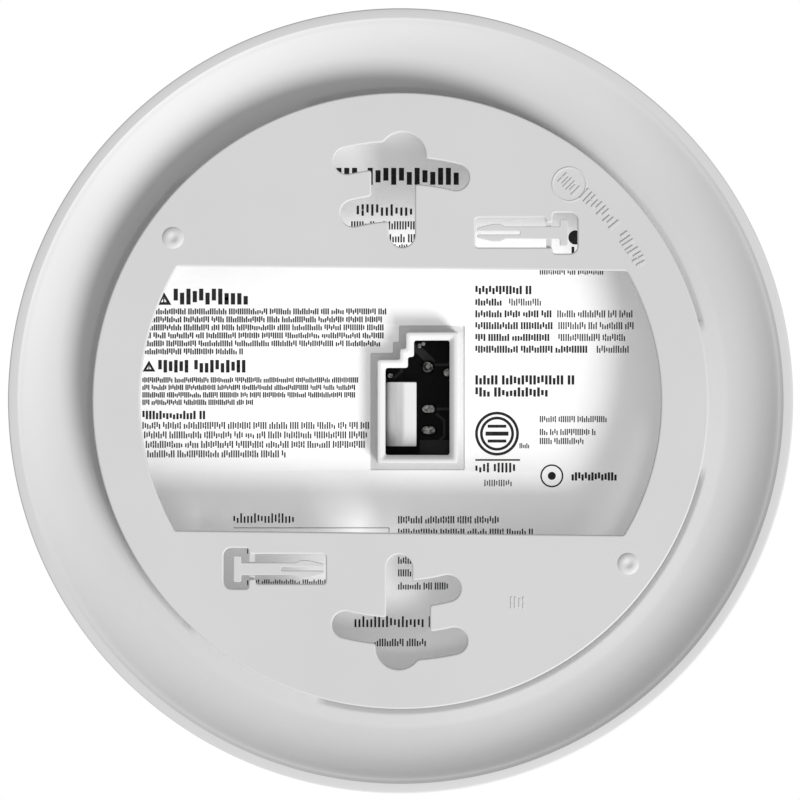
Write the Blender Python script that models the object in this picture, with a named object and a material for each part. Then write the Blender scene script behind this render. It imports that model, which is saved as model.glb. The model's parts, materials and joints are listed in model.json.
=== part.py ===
"""Battery smoke alarm on its twist-off mounting bracket.

The design frame is seen from behind: x to the right, y up, z towards the wall.
An empty turns that frame so that the wall is the plane Y = 0, the alarm hangs on
its -Y side and Z is up. Lengths are in millimetres until they reach a mesh.
"""
import math

import bmesh
import bpy
from mathutils import Vector

MM = 0.001
ROUND_STEPS = 72
SMALL_STEPS = 24
GAP = 0.3

# Bracket plate, held against the wall.
PLATE_RADIUS = 55.7
PLATE_THICKNESS = 2.0
PLATE_CHAMFER = 0.5
OPENING_RADIUS = 47.1
OPENING_HALF_HEIGHT = 23.9
OPENING_TILT_DEG = -0.6

# Box-screw circles of three standard electrical boxes, and the slots on them.
OCTAGON_BOX_RADIUS = 44.45
SINGLE_GANG_RADIUS = 41.66
SMALL_BOX_RADIUS = 34.93
KEYHOLE_HEAD_RADIUS = 4.16
SLOT_HALF_WIDTH = 2.4

# Bayonet: three hooks on the bracket under three lips on the cover.
LIP_START_ANGLES = (107.0, 227.0, 347.0)
LIP_ARC = 27.4
HOOK_OFFSET = 11.0
HOOK_ARC = 14.0
HOOK_WALL = (52.8, 54.4)
HOOK_FOOT_RADIUS = 56.1
HOOK_FOOT_DEPTHS = (-7.0, -6.0)

# Rear housing.
FLOOR_DEPTH = -12.0
FLOOR_THICKNESS = 1.6
LEDGE_DEPTH = -7.3
HOUSING_RADIUS = 57.0
WELL_RADIUS = 51.5
COLLAR_TOP = -8.0
COLLAR_WALL = 1.45
LABEL_RADIUS = 50.5
LABEL_MARGIN = 1.3

# Circuit board and what stands on it.
BOARD_BACK = -16.0
BOARD_THICKNESS = 1.6
BOARD_FRONT = BOARD_BACK - BOARD_THICKNESS
BOARD_RADIUS = 52.0
BOARD_NOTCH_X = -18.4
BOARD_NOTCH_HALF = 27.6
CHAMBER_CENTRE = (14.0, 28.0)
HORN_CENTRE = (14.0, -28.0)
LED_CENTRE = (33.0, 0.0)

# Battery and its side drawer.
BATTERY_SIZE = (26.5, 46.0, 17.5)
BATTERY_CENTRE = (-33.25, 0.0, -23.75)
TERMINAL_PITCH = 12.7
DRAWER_HALF_WIDTH = 26.2
DRAWER_BACK = -14.2
DRAWER_FRONT = -34.4
DRAWER_INNER_END = -18.8
BAY_HALF_WIDTH = 24.6
BAY_FLOOR = -32.8

# Test button.
BUTTON_RADIUS = 8.0
BUTTON_HOLE_RADIUS = 8.4
BUTTON_FACE = -43.0

# Horn grille and light window in the dome: slots that follow circles about the axis.
GRILLE_RADII = (21.0, 25.0, 29.0, 33.0, 37.0)
GRILLE_SLOT_WIDTH = 2.0
GRILLE_SECTORS = ((-88.9, -76.1), (-73.9, -53.6), (-51.4, -38.6))
LIGHT_WINDOW_RADII = (31.0, 35.0)
LIGHT_WINDOW_HALF = 3.75

# Side vents.
VENT_PITCH_DEG = 7.5
VENT_HALF_WIDTH = 1.1
VENT_DEPTHS = (-28.6, -18.4)
VENT_FREE_HALF_ANGLE = 35.0

# Cover: back of the flange, outer face and inner face, each as (radius, depth).
TROUGH_PROFILE = [(57.3, -4.9), (57.6, -4.6), (59.8, -4.65), (62.4, -4.3), (64.8, -3.6),
                  (66.8, -2.6), (68.3, -1.5), (69.1, -1.2)]
OUTER_PROFILE = [(70.5, -1.2), (71.0, -1.7), (71.0, -2.6), (70.0, -3.6), (66.0, -5.3),
                 (62.0, -8.2), (59.8, -11.8), (58.6, -16.5), (57.6, -28.0), (57.0, -31.6),
                 (54.8, -35.4), (50.0, -38.1), (41.0, -40.2), (28.0, -41.6), (14.0, -42.3),
                 (BUTTON_HOLE_RADIUS, -42.4)]
INNER_PROFILE = [(BUTTON_HOLE_RADIUS, -40.6), (28.0, -39.8), (41.0, -38.4), (49.4, -36.4),
                 (53.4, -34.2), (55.2, -31.2), (55.8, -28.0), (56.8, -15.0), (57.3, -11.0)]


# ---------------------------------------------------------------- mesh helpers

def polar(radius, angle_deg, centre=(0.0, 0.0)):
    angle = math.radians(angle_deg)
    return (centre[0] + radius * math.cos(angle), centre[1] + radius * math.sin(angle))


def arc(radius, start_deg, end_deg, steps, centre=(0.0, 0.0)):
    step = (end_deg - start_deg) / steps
    return [polar(radius, start_deg + step * i, centre) for i in range(steps + 1)]


def circle(radius, steps=SMALL_STEPS, centre=(0.0, 0.0)):
    return arc(radius, 0.0, 360.0, steps, centre)[:-1]


def rectangle(x0, x1, y0, y1):
    return [(x0, y0), (x1, y0), (x1, y1), (x0, y1)]


def prism(bm, outline, z0, z1):
    """Adds an upright solid with the given outline between two depths."""
    low = [bm.verts.new((x * MM, y * MM, z0 * MM)) for x, y in outline]
    high = [bm.verts.new((x * MM, y * MM, z1 * MM)) for x, y in outline]
    bm.faces.new(low[::-1])
    bm.faces.new(high)
    count = len(outline)
    for i in range(count):
        j = (i + 1) % count
        bm.faces.new((low[i], low[j], high[j], high[i]))


def turned(bm, profile, steps=ROUND_STEPS, centre=(0.0, 0.0), ring=True):
    """Adds a turned solid: a closed ring section, or a stack capped at both ends."""
    loops = []
    for radius, z in profile:
        points = circle(radius, steps, centre)
        loops.append([bm.verts.new((x * MM, y * MM, z * MM)) for x, y in points])
    pairs = list(zip(loops, loops[1:]))
    if ring:
        pairs.append((loops[-1], loops[0]))
    else:
        bm.faces.new(loops[0])
        bm.faces.new(loops[-1][::-1])
    for first, second in pairs:
        for i in range(steps):
            j = (i + 1) % steps
            bm.faces.new((first[i], first[j], second[j], second[i]))


def block(bm, x0, x1, y0, y1, z0, z1):
    prism(bm, rectangle(x0, x1, y0, y1), z0, z1)


def ring_sector(bm, r0, r1, z0, z1, start_deg, end_deg, steps=8):
    outline = arc(r0, start_deg, end_deg, steps) + arc(r1, end_deg, start_deg, steps)
    prism(bm, outline, z0, z1)


def radial_slot(bm, centre, angle_deg, radii, half_width, depths):
    """Adds an upright box that points away from a centre."""
    along = Vector(polar(1.0, angle_deg))
    side = Vector((-along.y, along.x)) * half_width
    near = Vector(centre) + along * radii[0]
    far = Vector(centre) + along * radii[1]
    corners = [near - side, far - side, far + side, near + side]
    prism(bm, [tuple(corner) for corner in corners], *depths)


def bar(bm, section, start, end, along):
    """Adds a section swept along x as (y, z) points, or along y as (x, z) points."""
    rings = []
    for place in (start, end):
        if along == "x":
            points = [(place, y, z) for y, z in section]
        else:
            points = [(x, place, z) for x, z in section]
        rings.append([bm.verts.new((x * MM, y * MM, z * MM)) for x, y, z in points])
    first, second = rings
    bm.faces.new(first)
    bm.faces.new(second[::-1])
    count = len(section)
    for i in range(count):
        j = (i + 1) % count
        bm.faces.new((first[i], first[j], second[j], second[i]))


# -------------------------------------------------------------- object helpers

def clear_scene():
    for item in list(bpy.data.objects):
        bpy.data.objects.remove(item, do_unlink=True)


def finish_material(name, colour, roughness, metallic=0.0):
    material = bpy.data.materials.new(name)
    material.use_nodes = True
    shader = material.node_tree.nodes["Principled BSDF"]
    shader.inputs["Base Color"].default_value = (*colour, 1.0)
    shader.inputs["Roughness"].default_value = roughness
    shader.inputs["Metallic"].default_value = metallic
    return material


def mesh_object(name, draw, parent):
    """Makes an object whose mesh is drawn by draw(bm)."""
    bm = bmesh.new()
    draw(bm)
    bmesh.ops.recalc_face_normals(bm, faces=bm.faces)
    mesh = bpy.data.meshes.new(name)
    bm.to_mesh(mesh)
    bm.free()
    item = bpy.data.objects.new(name, mesh)
    item.parent = parent
    bpy.context.scene.collection.objects.link(item)
    return item


def solid(name, draw, parent, material, smooth=False):
    item = mesh_object(name, draw, parent)
    item.data.materials.append(material)
    if smooth:
        item.data.shade_smooth()
        item.data.set_sharp_from_angle(angle=math.radians(30.0))
    return item


def tool(name, draw, parent):
    """Makes a hidden shape for a Boolean."""
    item = mesh_object(name, draw, parent)
    item.hide_render = True
    item.display_type = 'WIRE'
    return item


def combine(item, other, operation):
    modifier = item.modifiers.new(operation.lower(), 'BOOLEAN')
    modifier.operation = operation
    modifier.object = other
    modifier.solver = 'EXACT'


def half_turn(outline):
    return [(-x, -y) for x, y in outline]


# --------------------------------------------------------------------- bracket

def opening_outline():
    """The big opening: two arcs closed by two straight edges, slightly tilted."""
    half = math.degrees(math.asin(OPENING_HALF_HEIGHT / OPENING_RADIUS))
    tilt = OPENING_TILT_DEG
    right = arc(OPENING_RADIUS, -half + tilt, half + tilt, 16)
    left = arc(OPENING_RADIUS, 180.0 - half + tilt, 180.0 + half + tilt, 16)
    return right + left


def curved_slot(radius, start_deg, end_deg):
    """Outline of a slot of constant width that follows a screw circle."""
    low, high = sorted((start_deg, end_deg))
    outline = arc(radius + SLOT_HALF_WIDTH, low, high, 6)
    outline += arc(SLOT_HALF_WIDTH, high, high + 180.0, 8, polar(radius, high))[1:]
    outline += arc(radius - SLOT_HALF_WIDTH, high, low, 6)[1:]
    outline += arc(SLOT_HALF_WIDTH, low + 180.0, low + 360.0, 8, polar(radius, low))[1:-1]
    return outline


def keyhole_outlines():
    """One screw-head hole, three curved slots and the two straight runs between them."""
    return [
        circle(KEYHOLE_HEAD_RADIUS, 28, polar(44.4, 89.5)),
        curved_slot(OCTAGON_BOX_RADIUS, 92.0, 102.6),
        curved_slot(SINGLE_GANG_RADIUS, 76.1, 88.0),
        curved_slot(SMALL_BOX_RADIUS, 90.5, 104.1),
        rectangle(-5.3, 2.6, 36.2, 42.4),
        rectangle(-2.1, 2.6, 30.1, 38.0),
        circle(2.35, 20, (0.25, 30.1)),
    ]


def pin_slot_outlines():
    """The cut around one break-out locking pin: a body, a neck and a head recess."""
    head = [(27.5, 26.6), (30.6, 26.6)]
    head += arc(1.4, -90.0, 0.0, 4, (30.6, 28.0))[1:]
    head += arc(1.4, 0.0, 90.0, 4, (30.6, 32.6))
    head += [(27.5, 34.0)]
    return [rectangle(13.5, 26.2, 27.7, 33.1), rectangle(25.8, 27.9, 27.9, 32.2), head]


def locking_pin_outline():
    """A split, barbed shaft with a T-shaped head, lying flat in its slot."""
    middle = 30.4
    half = 1.1
    barb = 1.55
    slit = 0.35
    upper = [(19.0, half), (18.0, barb), (16.6, barb), (13.85, half * 0.8)]
    outline = [(28.8, middle - 2.35), (30.2, middle - 2.35), (30.2, middle + 2.35),
               (28.8, middle + 2.35), (28.8, middle + half)]
    outline += [(x, middle + y) for x, y in upper]
    outline += [(13.85, middle + slit), (21.6, middle + slit)]
    outline += [(21.6, middle - slit), (13.85, middle - slit)]
    outline += [(x, middle - y) for x, y in reversed(upper)]
    outline += [(28.8, middle - half)]
    return outline


def make_bracket(frame, plastic):
    def draw_plate(bm):
        turned(bm, [(PLATE_RADIUS - PLATE_CHAMFER, 0.0), (PLATE_RADIUS, -PLATE_CHAMFER),
                    (PLATE_RADIUS, -PLATE_THICKNESS)], ring=False)

    def draw_hooks(bm):
        for start in LIP_START_ANGLES:
            a0 = start + HOOK_OFFSET
            a1 = a0 + HOOK_ARC
            foot_low, foot_high = HOOK_FOOT_DEPTHS
            section = [(HOOK_WALL[0], -PLATE_THICKNESS + 0.5), (HOOK_WALL[1], -PLATE_THICKNESS + 0.5),
                       (HOOK_WALL[1], foot_high), (HOOK_FOOT_RADIUS, foot_high),
                       (HOOK_FOOT_RADIUS, foot_low), (HOOK_WALL[0], foot_low)]
            sweep(bm, section, a0, a1, 6)

    bracket = solid("mounting_bracket", draw_plate, frame, plastic, smooth=True)
    combine(bracket, tool("bracket_hooks", draw_hooks, frame), 'UNION')
    outlines = [opening_outline()]
    for outline in keyhole_outlines() + pin_slot_outlines():
        outlines.append(outline)
        outlines.append(half_turn(outline))
    for index, outline in enumerate(outlines):
        def draw_cut(bm, shape=outline):
            prism(bm, shape, -PLATE_THICKNESS - 1.0, 1.0)
        combine(bracket, tool(f"bracket_cut_{index}", draw_cut, frame), 'DIFFERENCE')
    return bracket


def sweep(bm, section, start_deg, end_deg, steps):
    """Adds a section of (radius, depth) points swept part of the way round the axis."""
    stations = []
    for i in range(steps + 1):
        angle = start_deg + (end_deg - start_deg) * i / steps
        ring = []
        for radius, z in section:
            x, y = polar(radius, angle)
            ring.append(bm.verts.new((x * MM, y * MM, z * MM)))
        stations.append(ring)
    count = len(section)
    for first, second in zip(stations, stations[1:]):
        for i in range(count):
            j = (i + 1) % count
            bm.faces.new((first[i], first[j], second[j], second[i]))
    bm.faces.new(stations[0][::-1])
    bm.faces.new(stations[-1])


def make_locking_pins(frame, plastic):
    outline = locking_pin_outline()
    for name, shape in (("locking_pin_upper", outline), ("locking_pin_lower", half_turn(outline))):
        def draw_pin(bm, points=shape):
            prism(bm, points, -1.8, -0.3)
        solid(name, draw_pin, frame, plastic)


# ---------------------------------------------------------------- rear housing

def window_outline(margin=0.0):
    """Keyed outline of the window, stepped at its upper left, grown by a margin."""
    m = margin
    return [(-2.75 - m, -9.9 - m), (8.95 + m, -9.9 - m), (8.95 + m, 11.0 + m), (2.45 - m, 11.0 + m),
            (2.45 - m, 8.0 + m), (1.35 - m, 8.0 + m), (1.35 - m, 6.0 + m), (-2.75 - m, 6.0 + m)]


def make_rear_housing(body, plastic):
    floor_front = FLOOR_DEPTH - FLOOR_THICKNESS

    def draw_dish(bm):
        turned(bm, [(WELL_RADIUS - 0.5, FLOOR_DEPTH), (WELL_RADIUS, FLOOR_DEPTH + 0.5),
                    (WELL_RADIUS, LEDGE_DEPTH), (HOUSING_RADIUS, LEDGE_DEPTH),
                    (HOUSING_RADIUS, LEDGE_DEPTH - 1.6), (WELL_RADIUS + 1.7, LEDGE_DEPTH - 1.6),
                    (WELL_RADIUS + 1.7, floor_front)], ring=False)

    def draw_collar(bm):
        prism(bm, window_outline(COLLAR_WALL), FLOOR_DEPTH - 1.0, COLLAR_TOP)

    def draw_window(bm):
        prism(bm, window_outline(), floor_front - 2.0, COLLAR_TOP + 2.0)

    def draw_posts(bm):
        for x, y in ((-12.0, 40.0), (-12.0, -40.0), (44.0, 18.0), (44.0, -18.0)):
            prism(bm, circle(2.2, 16, (x, y)), BOARD_BACK + GAP, FLOOR_DEPTH - 0.8)

    housing = solid("rear_housing", draw_dish, body, plastic, smooth=True)
    combine(housing, tool("window_collar", draw_collar, body), 'UNION')
    combine(housing, tool("board_posts", draw_posts, body), 'UNION')
    combine(housing, tool("window_cut", draw_window, body), 'DIFFERENCE')


def make_rating_label(body, paper):
    def draw_sheet(bm):
        prism(bm, circle(LABEL_RADIUS, 64), FLOOR_DEPTH + GAP, FLOOR_DEPTH + GAP + 0.2)

    def draw_cut(bm):
        prism(bm, window_outline(COLLAR_WALL + LABEL_MARGIN), FLOOR_DEPTH - 1.0, FLOOR_DEPTH + 2.0)

    label = solid("rating_label", draw_sheet, body, paper)
    combine(label, tool("label_cut", draw_cut, body), 'DIFFERENCE')


# ----------------------------------------------------------------- front cover

def draw_envelope(bm):
    """The whole outer form of the cover as one filled solid."""
    turned(bm, TROUGH_PROFILE[-1:] + OUTER_PROFILE, ring=False)


def make_front_cover(body, plastic):
    def draw_shell(bm):
        turned(bm, TROUGH_PROFILE + OUTER_PROFILE + INNER_PROFILE)

    def draw_lips(bm):
        for start in LIP_START_ANGLES:
            section = [(57.9, -4.75), (56.6, -4.75), (56.6, -5.1), (55.0, -5.1), (55.0, -5.7),
                       (57.9, -5.7)]
            sweep(bm, section, start, start + LIP_ARC, 8)

    def draw_vents(bm):
        for index in range(round(360.0 / VENT_PITCH_DEG)):
            angle = VENT_PITCH_DEG * index
            if abs(angle - 180.0) < VENT_FREE_HALF_ANGLE:
                continue
            radial_slot(bm, (0.0, 0.0), angle, (50.0, 64.0), VENT_HALF_WIDTH, VENT_DEPTHS)

    def draw_drawer_opening(bm):
        half = DRAWER_HALF_WIDTH + GAP
        block(bm, -75.0, -30.0, -half, half, DRAWER_FRONT - GAP, DRAWER_BACK + GAP)

    def draw_grille(bm):
        for inner in GRILLE_RADII:
            for start, end in GRILLE_SECTORS:
                ring_sector(bm, inner, inner + GRILLE_SLOT_WIDTH, -46.0, -34.0, start, end, 4)

    def draw_light_hole(bm):
        ring_sector(bm, *LIGHT_WINDOW_RADII, -46.0, -34.0, -LIGHT_WINDOW_HALF, LIGHT_WINDOW_HALF, 2)

    cover = solid("front_cover", draw_shell, body, plastic, smooth=True)
    combine(cover, tool("bayonet_lips", draw_lips, body), 'UNION')
    for name, draw in (("vent_cuts", draw_vents), ("drawer_opening", draw_drawer_opening),
                       ("grille_cuts", draw_grille), ("light_hole", draw_light_hole)):
        combine(cover, tool(name, draw, body), 'DIFFERENCE')


# ----------------------------------------------------------------- electronics

def board_outline():
    reach = math.degrees(math.asin(BOARD_NOTCH_HALF / BOARD_RADIUS))
    outline = arc(BOARD_RADIUS, -180.0 + reach, 180.0 - reach, 56)
    outline += [(BOARD_NOTCH_X, BOARD_NOTCH_HALF), (BOARD_NOTCH_X, -BOARD_NOTCH_HALF)]
    return outline


def make_circuit_board(body, laminate):
    def draw_board(bm):
        prism(bm, board_outline(), BOARD_FRONT, BOARD_BACK)

    solid("circuit_board", draw_board, body, laminate)


def make_header_block(body, nylon):
    """Block behind the window whose left half falls away from its flat top."""
    def draw_block(bm):
        foot = BOARD_BACK + GAP
        section = [(-2.45, foot), (2.9, foot), (2.9, -11.6), (0.6, -11.6), (-1.0, -12.4),
                   (-2.45, -13.0)]
        bar(bm, section, -8.3, 3.4, "y")

    solid("header_block", draw_block, body, nylon)


def make_smoke_chamber(body, tin, nylon, brass, mesh_grey):
    base_back = BOARD_FRONT - GAP

    def draw_base(bm):
        prism(bm, circle(17.5, 40, CHAMBER_CENTRE), base_back - 1.8, base_back)

    def draw_base_posts(bm):
        for angle in (90.0, 210.0, 330.0):
            prism(bm, circle(1.2, 12, polar(9.5, angle, CHAMBER_CENTRE)), -24.6, base_back - 1.0)

    def draw_can(bm):
        turned(bm, [(17.5, -20.3), (17.5, -30.6), (16.9, -31.2), (5.0, -31.2), (5.0, -30.5),
                    (16.6, -30.5), (16.8, -20.3)], 40, CHAMBER_CENTRE)

    def draw_can_slots(bm):
        for index in range(10):
            radial_slot(bm, CHAMBER_CENTRE, 36.0 * index, (15.0, 19.0), 1.5, (-28.5, -22.5))

    def draw_screen(bm):
        turned(bm, [(16.3, -20.6), (16.3, -30.1), (15.9, -30.1), (15.9, -20.6)], 40, CHAMBER_CENTRE)

    def draw_collector(bm):
        turned(bm, [(12.0, -24.9), (12.0, -25.4), (2.5, -25.4), (2.5, -24.9)], 32, CHAMBER_CENTRE)

    def draw_source(bm):
        turned(bm, [(4.0, base_back - 2.1), (4.0, -21.6), (2.4, -22.6)], 24, CHAMBER_CENTRE, ring=False)

    base = solid("chamber_base", draw_base, body, nylon, smooth=True)
    combine(base, tool("chamber_posts", draw_base_posts, body), 'UNION')
    can = solid("chamber_can", draw_can, body, tin, smooth=True)
    combine(can, tool("chamber_slots", draw_can_slots, body), 'DIFFERENCE')
    solid("insect_screen", draw_screen, body, mesh_grey, smooth=True)
    solid("collector_plate", draw_collector, body, tin, smooth=True)
    solid("source_holder", draw_source, body, brass, smooth=True)


def make_horn(body, nylon, brass, steel):
    cx, cy = HORN_CENTRE

    def draw_resonator(bm):
        turned(bm, [(17.2, -20.8), (17.2, -31.0), (3.0, -31.0), (3.0, -29.8), (14.4, -29.8),
                    (14.4, -22.3), (16.0, -22.3), (16.0, -20.8)], 40, HORN_CENTRE)

    def draw_piezo(bm):
        prism(bm, circle(15.6, 40, HORN_CENTRE), -22.0, -21.5)

    solid("horn_resonator", draw_resonator, body, nylon, smooth=True)
    solid("piezo_disc", draw_piezo, body, brass, smooth=True)
    for suffix, offset in (("a", -11.0), ("b", -3.0), ("c", 11.0)):
        def draw_spring(bm, x=cx + offset):
            root = BOARD_FRONT - GAP
            tip = -21.2
            section = [(cy - 3.0, root), (cy - 3.0, tip), (cy + 2.4, tip), (cy + 2.4, tip + 0.4),
                       (cy - 2.6, tip + 0.4), (cy - 2.6, root)]
            bar(bm, section, x - 0.9, x + 0.9, "x")

        solid(f"horn_contact_{suffix}", draw_spring, body, steel)


def make_board_parts(body, epoxy, ceramic, blue):
    back = BOARD_FRONT - GAP

    def draw_chip(bm):
        block(bm, -15.5, -8.5, 6.0, 26.0, back - 3.6, back)

    def draw_capacitor(bm):
        profile = [(3.9, back), (4.0, back - 0.3), (4.0, back - 10.7), (3.7, back - 11.0)]
        turned(bm, profile, SMALL_STEPS, (36.0, -14.0), ring=False)

    def draw_small_capacitor(bm):
        prism(bm, rectangle(33.0, 38.0, 8.0, 10.5), back - 5.0, back)

    solid("alarm_chip", draw_chip, body, epoxy)
    solid("reservoir_capacitor", draw_capacitor, body, blue, smooth=True)
    solid("film_capacitor", draw_small_capacitor, body, ceramic)
    for index, y in enumerate((-12.0, -17.0, -22.0)):
        def draw_resistor(bm, row=y):
            rings = []
            profile = [(1.0, -14.6), (1.25, -14.0), (1.25, -12.6), (1.0, -12.0), (1.0, -10.6),
                       (1.25, -10.0), (1.25, -8.6), (1.0, -8.0)]
            for radius, x in profile:
                ring = []
                for k in range(12):
                    angle = math.tau * k / 12
                    y_at = row + radius * math.cos(angle)
                    z_at = back - 1.3 + radius * math.sin(angle)
                    ring.append(bm.verts.new((x * MM, y_at * MM, z_at * MM)))
                rings.append(ring)
            bm.faces.new(rings[0])
            bm.faces.new(rings[-1][::-1])
            for first, second in zip(rings, rings[1:]):
                for k in range(12):
                    j = (k + 1) % 12
                    bm.faces.new((first[k], first[j], second[j], second[k]))

        solid(f"resistor_{index + 1}", draw_resistor, body, ceramic, smooth=True)


def make_status_light(body, clear_red, clear):
    def draw_led(bm):
        profile = [(2.9, BOARD_FRONT - 1.0), (2.9, BOARD_FRONT - 2.0), (2.5, BOARD_FRONT - 2.0),
                   (2.5, -24.0), (1.9, -25.4), (0.8, -26.0)]
        turned(bm, profile, SMALL_STEPS, LED_CENTRE, ring=False)

    def draw_pipe(bm):
        inner, outer = LIGHT_WINDOW_RADII
        half = LIGHT_WINDOW_HALF - 0.55
        ring_sector(bm, inner + GAP, outer - GAP, -41.0, -26.3, -half, half, 4)

    solid("status_led", draw_led, body, clear_red, smooth=True)
    solid("light_pipe", draw_pipe, body, clear)


def make_test_switch(body, button_body, epoxy, silver, plastic):
    back = BOARD_FRONT - GAP
    switch_face = back - 3.6
    plunger_end = switch_face - 1.8

    def draw_switch(bm):
        block(bm, -3.0, 3.0, -3.0, 3.0, switch_face, back)

    def draw_bore(bm):
        prism(bm, circle(2.0, 20), switch_face - 1.0, switch_face + 2.2)

    def draw_plunger(bm):
        turned(bm, [(1.7, switch_face + 0.6), (1.7, plunger_end)], 20, ring=False)

    def draw_button(bm):
        stem_end = plunger_end - GAP
        turned(bm, [(2.4, stem_end), (2.4, -39.4), (9.6, -39.4), (9.6, -40.3),
                    (BUTTON_RADIUS, -40.3), (BUTTON_RADIUS, BUTTON_FACE + 0.8),
                    (BUTTON_RADIUS - 0.8, BUTTON_FACE), (3.0, BUTTON_FACE + 0.3)], 40, ring=False)

    switch = solid("test_switch", draw_switch, body, epoxy)
    combine(switch, tool("switch_bore", draw_bore, body), 'DIFFERENCE')
    solid("switch_plunger", draw_plunger, button_body, silver, smooth=True)
    solid("test_button", draw_button, button_body, plastic, smooth=True)


# -------------------------------------------------------------- battery drawer

def make_battery_drawer(body, plastic):
    def draw_block(bm):
        half = DRAWER_HALF_WIDTH
        block(bm, -75.0, DRAWER_INNER_END, -half, half, DRAWER_FRONT, DRAWER_BACK)

    def draw_bay_round(bm):
        turned(bm, [(55.2, 0.0), (55.2, BAY_FLOOR)], ring=False)

    def draw_bay_sides(bm):
        block(bm, -60.0, 5.0, -BAY_HALF_WIDTH, BAY_HALF_WIDTH, BAY_FLOOR - 5.0, 5.0)

    def draw_side_relief(bm):
        block(bm, -46.3, 5.0, -40.0, 40.0, -29.5, 5.0)

    def draw_grip(bm):
        ring_sector(bm, 56.2, 58.9, -25.4, -23.2, 170.0, 190.0, 10)

    drawer = solid("battery_drawer", draw_block, body, plastic, smooth=True)
    bay = tool("battery_bay", draw_bay_round, body)
    combine(bay, tool("battery_bay_sides", draw_bay_sides, body), 'INTERSECT')
    combine(drawer, tool("drawer_envelope", draw_envelope, body), 'INTERSECT')
    combine(drawer, bay, 'DIFFERENCE')
    combine(drawer, tool("drawer_relief", draw_side_relief, body), 'DIFFERENCE')
    combine(drawer, tool("drawer_grip", draw_grip, body), 'UNION')


def make_battery(body, jacket, steel):
    length_x, length_y, height = BATTERY_SIZE
    cx, cy, cz = BATTERY_CENTRE
    x0 = cx - length_x / 2.0
    x1 = cx + length_x / 2.0
    z0 = cz - height / 2.0
    z1 = cz + height / 2.0
    corner = 1.6

    def draw_case(bm):
        section = []
        corners = ((x1 - corner, z1 - corner, 0.0), (x0 + corner, z1 - corner, 90.0),
                   (x0 + corner, z0 + corner, 180.0), (x1 - corner, z0 + corner, 270.0))
        for x, z, start in corners:
            section += arc(corner, start, start + 90.0, 4, (x, z))
        bar(bm, section, cy - length_y / 2.0, cy + length_y / 2.0, "y")

    solid("battery_9v", draw_case, body, jacket, smooth=True)
    face = cy + length_y / 2.0 + GAP
    for name, x, radius, sides in (("battery_terminal_positive", cx - TERMINAL_PITCH / 2.0, 2.9, 24),
                                   ("battery_terminal_negative", cx + TERMINAL_PITCH / 2.0, 4.4, 6)):
        def draw_terminal(bm, centre_x=x, size=radius, count=sides):
            section = circle(size, count, (centre_x, cz))
            bar(bm, section, face, face + 1.9, "y")

        solid(name, draw_terminal, body, steel, smooth=(sides > 6))


def make_battery_contacts(body, steel):
    """Two bent strips that stand on the board's upper arm and wipe the terminals."""
    cx = BATTERY_CENTRE[0]
    root = BOARD_FRONT - GAP
    wipe = BATTERY_CENTRE[2]
    for name, x in (("battery_contact_positive", cx - TERMINAL_PITCH / 2.0),
                    ("battery_contact_negative", cx + TERMINAL_PITCH / 2.0)):
        def draw_contact(bm, centre_x=x):
            section = [(31.0, root), (31.0, root - 0.5), (28.6, root - 0.5), (26.1, wipe),
                       (27.0, wipe - 4.5), (26.5, wipe - 4.6), (25.6, wipe), (28.2, root)]
            bar(bm, section, centre_x - 2.0, centre_x + 2.0, "x")

        solid(name, draw_contact, body, steel)


# --------------------------------------------------------------------- assembly

def empty(name, parent=None):
    item = bpy.data.objects.new(name, None)
    item.parent = parent
    bpy.context.scene.collection.objects.link(item)
    return item


def main():
    clear_scene()
    wall = empty("wall_frame")
    wall.rotation_euler = (math.pi / 2.0, 0.0, math.pi)
    alarm = empty("alarm_twist_axis", wall)
    drawer = empty("drawer_slide_axis", alarm)
    button = empty("button_axis", alarm)

    white = finish_material("white_plastic", (0.80, 0.80, 0.79), 0.45)
    bracket_white = finish_material("bracket_plastic", (0.78, 0.78, 0.77), 0.5)
    paper = finish_material("label_paper", (0.90, 0.90, 0.90), 0.6)
    laminate = finish_material("board_laminate", (0.01, 0.01, 0.01), 0.3)
    nylon = finish_material("white_nylon", (0.82, 0.82, 0.80), 0.5)
    epoxy = finish_material("black_epoxy", (0.02, 0.02, 0.02), 0.5)
    tin = finish_material("tinned_steel", (0.75, 0.75, 0.74), 0.3, 1.0)
    brass = finish_material("brass", (0.80, 0.62, 0.30), 0.3, 1.0)
    screen = finish_material("screen_mesh", (0.25, 0.25, 0.25), 0.6)
    ceramic = finish_material("tan_coating", (0.70, 0.55, 0.38), 0.5)
    blue = finish_material("capacitor_sleeve", (0.03, 0.06, 0.20), 0.4)
    clear_red = finish_material("red_lens", (0.60, 0.03, 0.02), 0.15)
    clear = finish_material("clear_acrylic", (0.90, 0.90, 0.88), 0.1)
    jacket = finish_material("battery_jacket", (0.10, 0.10, 0.11), 0.4)

    make_bracket(wall, bracket_white)
    make_locking_pins(wall, bracket_white)
    make_rear_housing(alarm, white)
    make_rating_label(alarm, paper)
    make_front_cover(alarm, white)
    make_circuit_board(alarm, laminate)
    make_header_block(alarm, nylon)
    make_smoke_chamber(alarm, tin, nylon, brass, screen)
    make_horn(alarm, nylon, brass, tin)
    make_board_parts(alarm, epoxy, ceramic, blue)
    make_status_light(alarm, clear_red, clear)
    make_test_switch(alarm, button, epoxy, tin, white)
    make_battery_contacts(alarm, tin)
    make_battery_drawer(drawer, white)
    make_battery(drawer, jacket, tin)


main()
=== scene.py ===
import json
import math
import random

import bmesh
import bpy
from mathutils import Matrix, Vector
from mathutils.geometry import tessellate_polygon


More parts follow.
